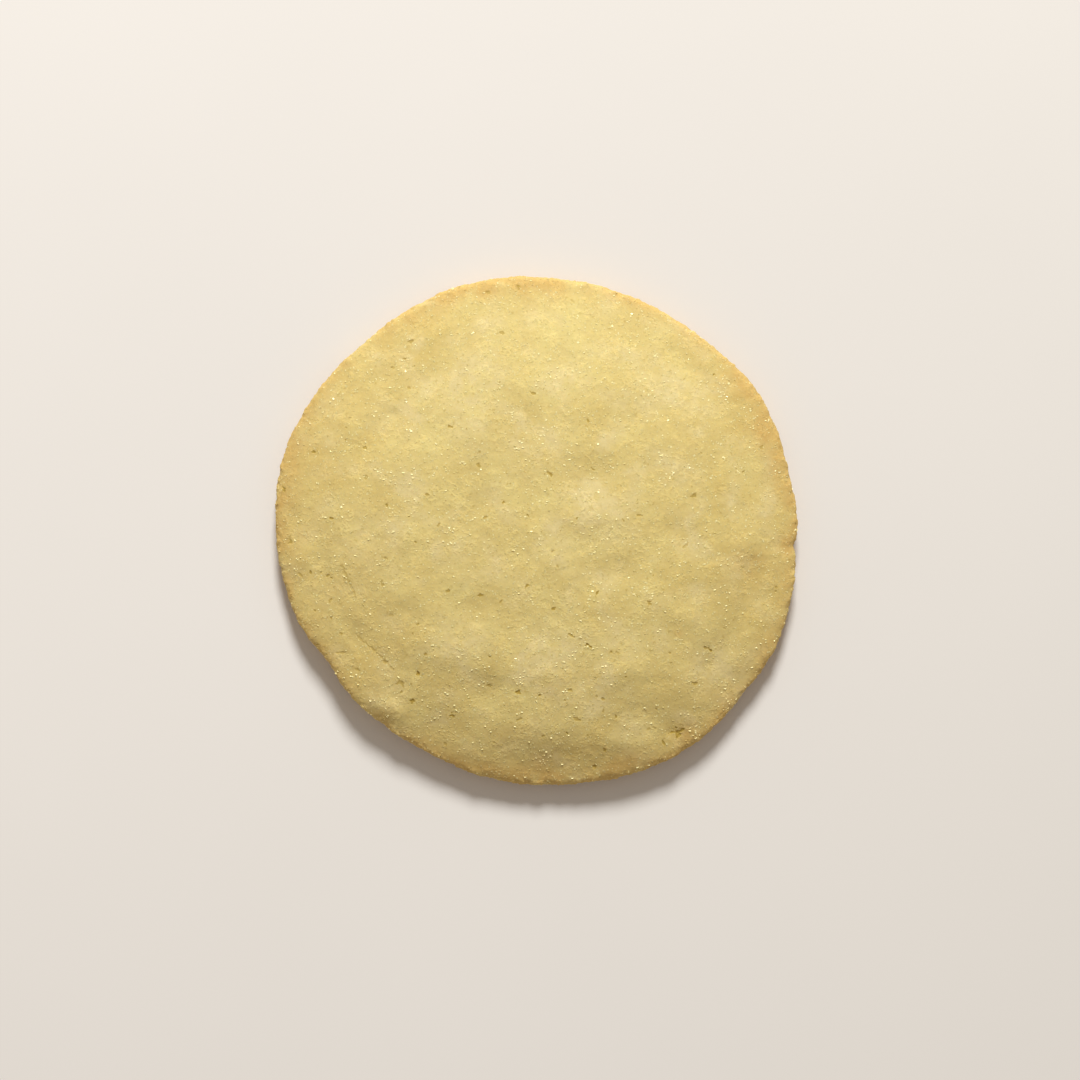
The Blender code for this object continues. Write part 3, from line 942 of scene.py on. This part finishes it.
def sugar_material():
    nodes = Nodes("sugar")
    cloudy = nodes.stretch(nodes.noise(SUGAR_CLOUD_SIZE), *NOISE_RANGE)
    colour = nodes.mix(cloudy, SUGAR, SUGAR_PALE)
    # The grains take the crust's browned colour and its painted shade.
    colour = nodes.mix(nodes.attribute("browning_and_shade"), colour, BROWN_AND_SHADE)
    # Paler grains, and painted glint on the bright ones.
    colour = nodes.mix(nodes.attribute("white_and_glint"), colour, SUGAR_WHITE_AND_GLINT)
    nodes.link(colour, nodes.shader.inputs["Base Color"])
    rough = nodes.stretch(nodes.attribute("white_and_glint"), *SUGAR_WHITE_RANGE, *SUGAR_ROUGHNESS)
    nodes.link(rough, nodes.shader.inputs["Roughness"])
    nodes.shader.inputs["Specular IOR Level"].default_value = 0.35
    nodes.shader.inputs["Specular Tint"].default_value = SUGAR_GLINT
    nodes.shader.inputs["Subsurface Weight"].default_value = 0.2
    nodes.shader.inputs["Subsurface Radius"].default_value = (1.0, 0.8, 0.5)
    nodes.shader.inputs["Subsurface Scale"].default_value = 0.3 * MM
    return nodes.material


def floor_material():
    nodes = Nodes("paper")
    mottle = nodes.stretch(nodes.noise(FLOOR_MOTTLE, detail=3.0), *NOISE_RANGE)
    darker = tuple(channel * FLOOR_DARKER for channel in FLOOR_COLOUR)
    # Painted light, lighter towards -X.
    across = nodes.add("ShaderNodeSeparateXYZ")
    nodes.link(nodes.place, across.inputs["Vector"])
    side = nodes.stretch(across.outputs["X"], -FLOOR_LIGHT_FADE * MM, FLOOR_LIGHT_FADE * MM)
    painted_falloff = nodes.mix(side, *FLOOR_PAINTED_LIGHT)
    colour = nodes.mix(mottle, FLOOR_COLOUR, darker)
    nodes.link(nodes.mix(1.0, colour, painted_falloff, blend="MULTIPLY"), nodes.shader.inputs["Base Color"])
    nodes.shader.inputs["Roughness"].default_value = 0.9
    nodes.shader.inputs["Specular IOR Level"].default_value = 0.2
    return nodes.material


# ================================================================ studio
def make_floor():
    body = bmesh.new()
    bmesh.ops.create_grid(body, x_segments=2, y_segments=2, size=FLOOR_SIZE / 2 * MM)
    mesh = bpy.data.meshes.new("floor")
    body.to_mesh(mesh)
    body.free()
    mesh.materials.append(floor_material())
    floor = bpy.data.objects.new("floor", mesh)
    bpy.context.scene.collection.objects.link(floor)


def make_light():
    data = bpy.data.lights.new("key", "AREA")
    data.shape = "DISK"
    data.size = KEY_SIZE * MM
    data.energy = KEY_POWER
    data.color = KEY_COLOUR
    light = bpy.data.objects.new("key", data)
    light.location = towards_key() * KEY_DISTANCE * MM
    light.rotation_euler = light.location.to_track_quat("Z", "Y").to_euler()
    light.visible_camera = False
    bpy.context.scene.collection.objects.link(light)
    world = bpy.data.worlds.new("studio")
    world.use_nodes = True
    background = world.node_tree.nodes["Background"]
    background.inputs["Color"].default_value = (*AMBIENT_COLOUR, 1.0)
    background.inputs["Strength"].default_value = AMBIENT
    bpy.context.scene.world = world


def make_camera():
    data = bpy.data.cameras.new("camera")
    data.lens = LENS
    data.sensor_width = SENSOR
    camera = bpy.data.objects.new("camera", data)
    distance = PICTURE_WIDTH * LENS / SENSOR
    camera.location = Vector((*PICTURE_CENTRE, SCALE_PLANE + distance)) * MM
    bpy.context.scene.collection.objects.link(camera)
    bpy.context.scene.camera = camera


crust = make_crust(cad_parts["cookie"])
crust.data.materials.append(crust_material())
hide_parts("cookie")
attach(crust, "root")

crystals = make_crystals(crust)
crystals.data.materials.append(sugar_material())
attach(crystals, "root")

make_floor()
make_light()
make_camera()
bpy.context.scene.view_settings.view_transform = "Standard"
